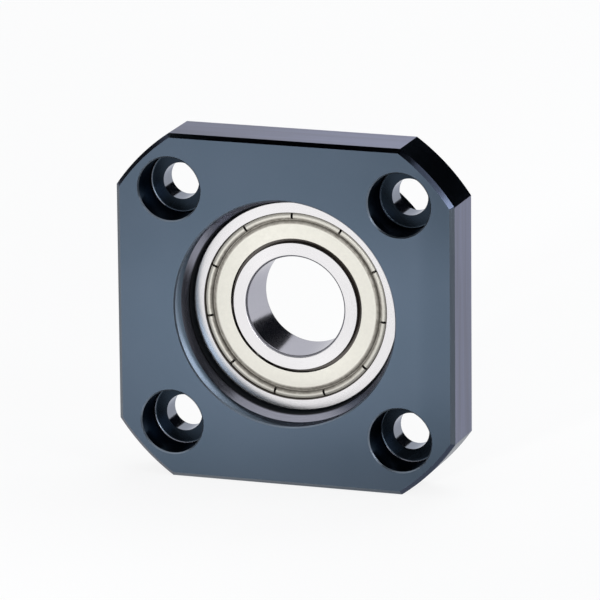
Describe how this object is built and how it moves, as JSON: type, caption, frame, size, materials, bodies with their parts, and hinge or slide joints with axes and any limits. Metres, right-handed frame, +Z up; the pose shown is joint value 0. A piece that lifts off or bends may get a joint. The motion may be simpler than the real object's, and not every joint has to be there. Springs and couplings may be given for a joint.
{
  "type": "ball screw end support",
  "caption": "Square flanged bearing housing with a pilot boss, counterbored fixing holes and a shielded ball bearing, for the free end of a ball screw.",
  "frame": {"origin": "on the bore axis in the flange's seating plane, at the centre of the fixing-hole circle", "axes": "+Y along the bore axis, from the counterbored front face towards the pilot boss's free end; +Z up, square to two sides of the flange; +X to the right when the front face is looked at"},
  "size_m": [0.052, 0.017, 0.052],
  "materials": {
    "housing_steel": "milled and turned steel with a satin blue-black oxide",
    "ring_steel": "ground and honed bearing steel",
    "ball_steel": "polished bearing steel",
    "cage_steel": "pressed steel sheet",
    "shield_steel": "pressed and plated steel sheet, warm satin"
  },
  "bodies": {
    "housing": {"housing": "housing_steel", "outer_ring": "ring_steel", "shield_front": "shield_steel", "shield_back": "shield_steel"},
    "inner_ring": {"inner_ring": "ring_steel"},
    "cage": {"cage_front": "cage_steel", "cage_back": "cage_steel", "cage_rivets": "cage_steel"},
    "ball_1_body": {"ball_1": "ball_steel"},
    "ball_2_body": {"ball_2": "ball_steel"},
    "ball_3_body": {"ball_3": "ball_steel"},
    "ball_4_body": {"ball_4": "ball_steel"},
    "ball_5_body": {"ball_5": "ball_steel"},
    "ball_6_body": {"ball_6": "ball_steel"},
    "ball_7_body": {"ball_7": "ball_steel"},
    "ball_8_body": {"ball_8": "ball_steel"},
    "ball_9_body": {"ball_9": "ball_steel"}
  },
  "joints": [
    {"name": "inner_ring_spin", "type": "hinge", "parent": "housing", "child": "inner_ring", "pos_m": [0, 0.0005, 0], "axis": [0, 1, 0], "continuous": true},
    {"name": "cage_orbit", "type": "hinge", "parent": "housing", "child": "cage", "pos_m": [0, 0.0005, 0], "axis": [0, 1, 0], "continuous": true},
    {"name": "ball_1_spin", "type": "hinge", "parent": "cage", "child": "ball_1_body", "pos_m": [0, 0.0005, 0.01175], "axis": [0, 1, 0], "continuous": true},
    {"name": "ball_2_spin", "type": "hinge", "parent": "cage", "child": "ball_2_body", "pos_m": [-0.00755, 0.0005, 0.009], "axis": [0, 1, 0], "continuous": true},
    {"name": "ball_3_spin", "type": "hinge", "parent": "cage", "child": "ball_3_body", "pos_m": [-0.01157, 0.0005, 0.00204], "axis": [0, 1, 0], "continuous": true},
    {"name": "ball_4_spin", "type": "hinge", "parent": "cage", "child": "ball_4_body", "pos_m": [-0.01018, 0.0005, -0.00588], "axis": [0, 1, 0], "continuous": true},
    {"name": "ball_5_spin", "type": "hinge", "parent": "cage", "child": "ball_5_body", "pos_m": [-0.00402, 0.0005, -0.01104], "axis": [0, 1, 0], "continuous": true},
    {"name": "ball_6_spin", "type": "hinge", "parent": "cage", "child": "ball_6_body", "pos_m": [0.00402, 0.0005, -0.01104], "axis": [0, 1, 0], "continuous": true},
    {"name": "ball_7_spin", "type": "hinge", "parent": "cage", "child": "ball_7_body", "pos_m": [0.01018, 0.0005, -0.00588], "axis": [0, 1, 0], "continuous": true},
    {"name": "ball_8_spin", "type": "hinge", "parent": "cage", "child": "ball_8_body", "pos_m": [0.01157, 0.0005, 0.00204], "axis": [0, 1, 0], "continuous": true},
    {"name": "ball_9_spin", "type": "hinge", "parent": "cage", "child": "ball_9_body", "pos_m": [0.00755, 0.0005, 0.009], "axis": [0, 1, 0], "continuous": true}
  ],
  "couplings": [
    {"joint": "cage_orbit", "follows": "inner_ring_spin", "ratio": 0.39867},
    {"joint": "ball_1_spin", "follows": "inner_ring_spin", "ratio": -2.3659},
    {"joint": "ball_2_spin", "follows": "inner_ring_spin", "ratio": -2.3659},
    {"joint": "ball_3_spin", "follows": "inner_ring_spin", "ratio": -2.3659},
    {"joint": "ball_4_spin", "follows": "inner_ring_spin", "ratio": -2.3659},
    {"joint": "ball_5_spin", "follows": "inner_ring_spin", "ratio": -2.3659},
    {"joint": "ball_6_spin", "follows": "inner_ring_spin", "ratio": -2.3659},
    {"joint": "ball_7_spin", "follows": "inner_ring_spin", "ratio": -2.3659},
    {"joint": "ball_8_spin", "follows": "inner_ring_spin", "ratio": -2.3659},
    {"joint": "ball_9_spin", "follows": "inner_ring_spin", "ratio": -2.3659}
  ]
}
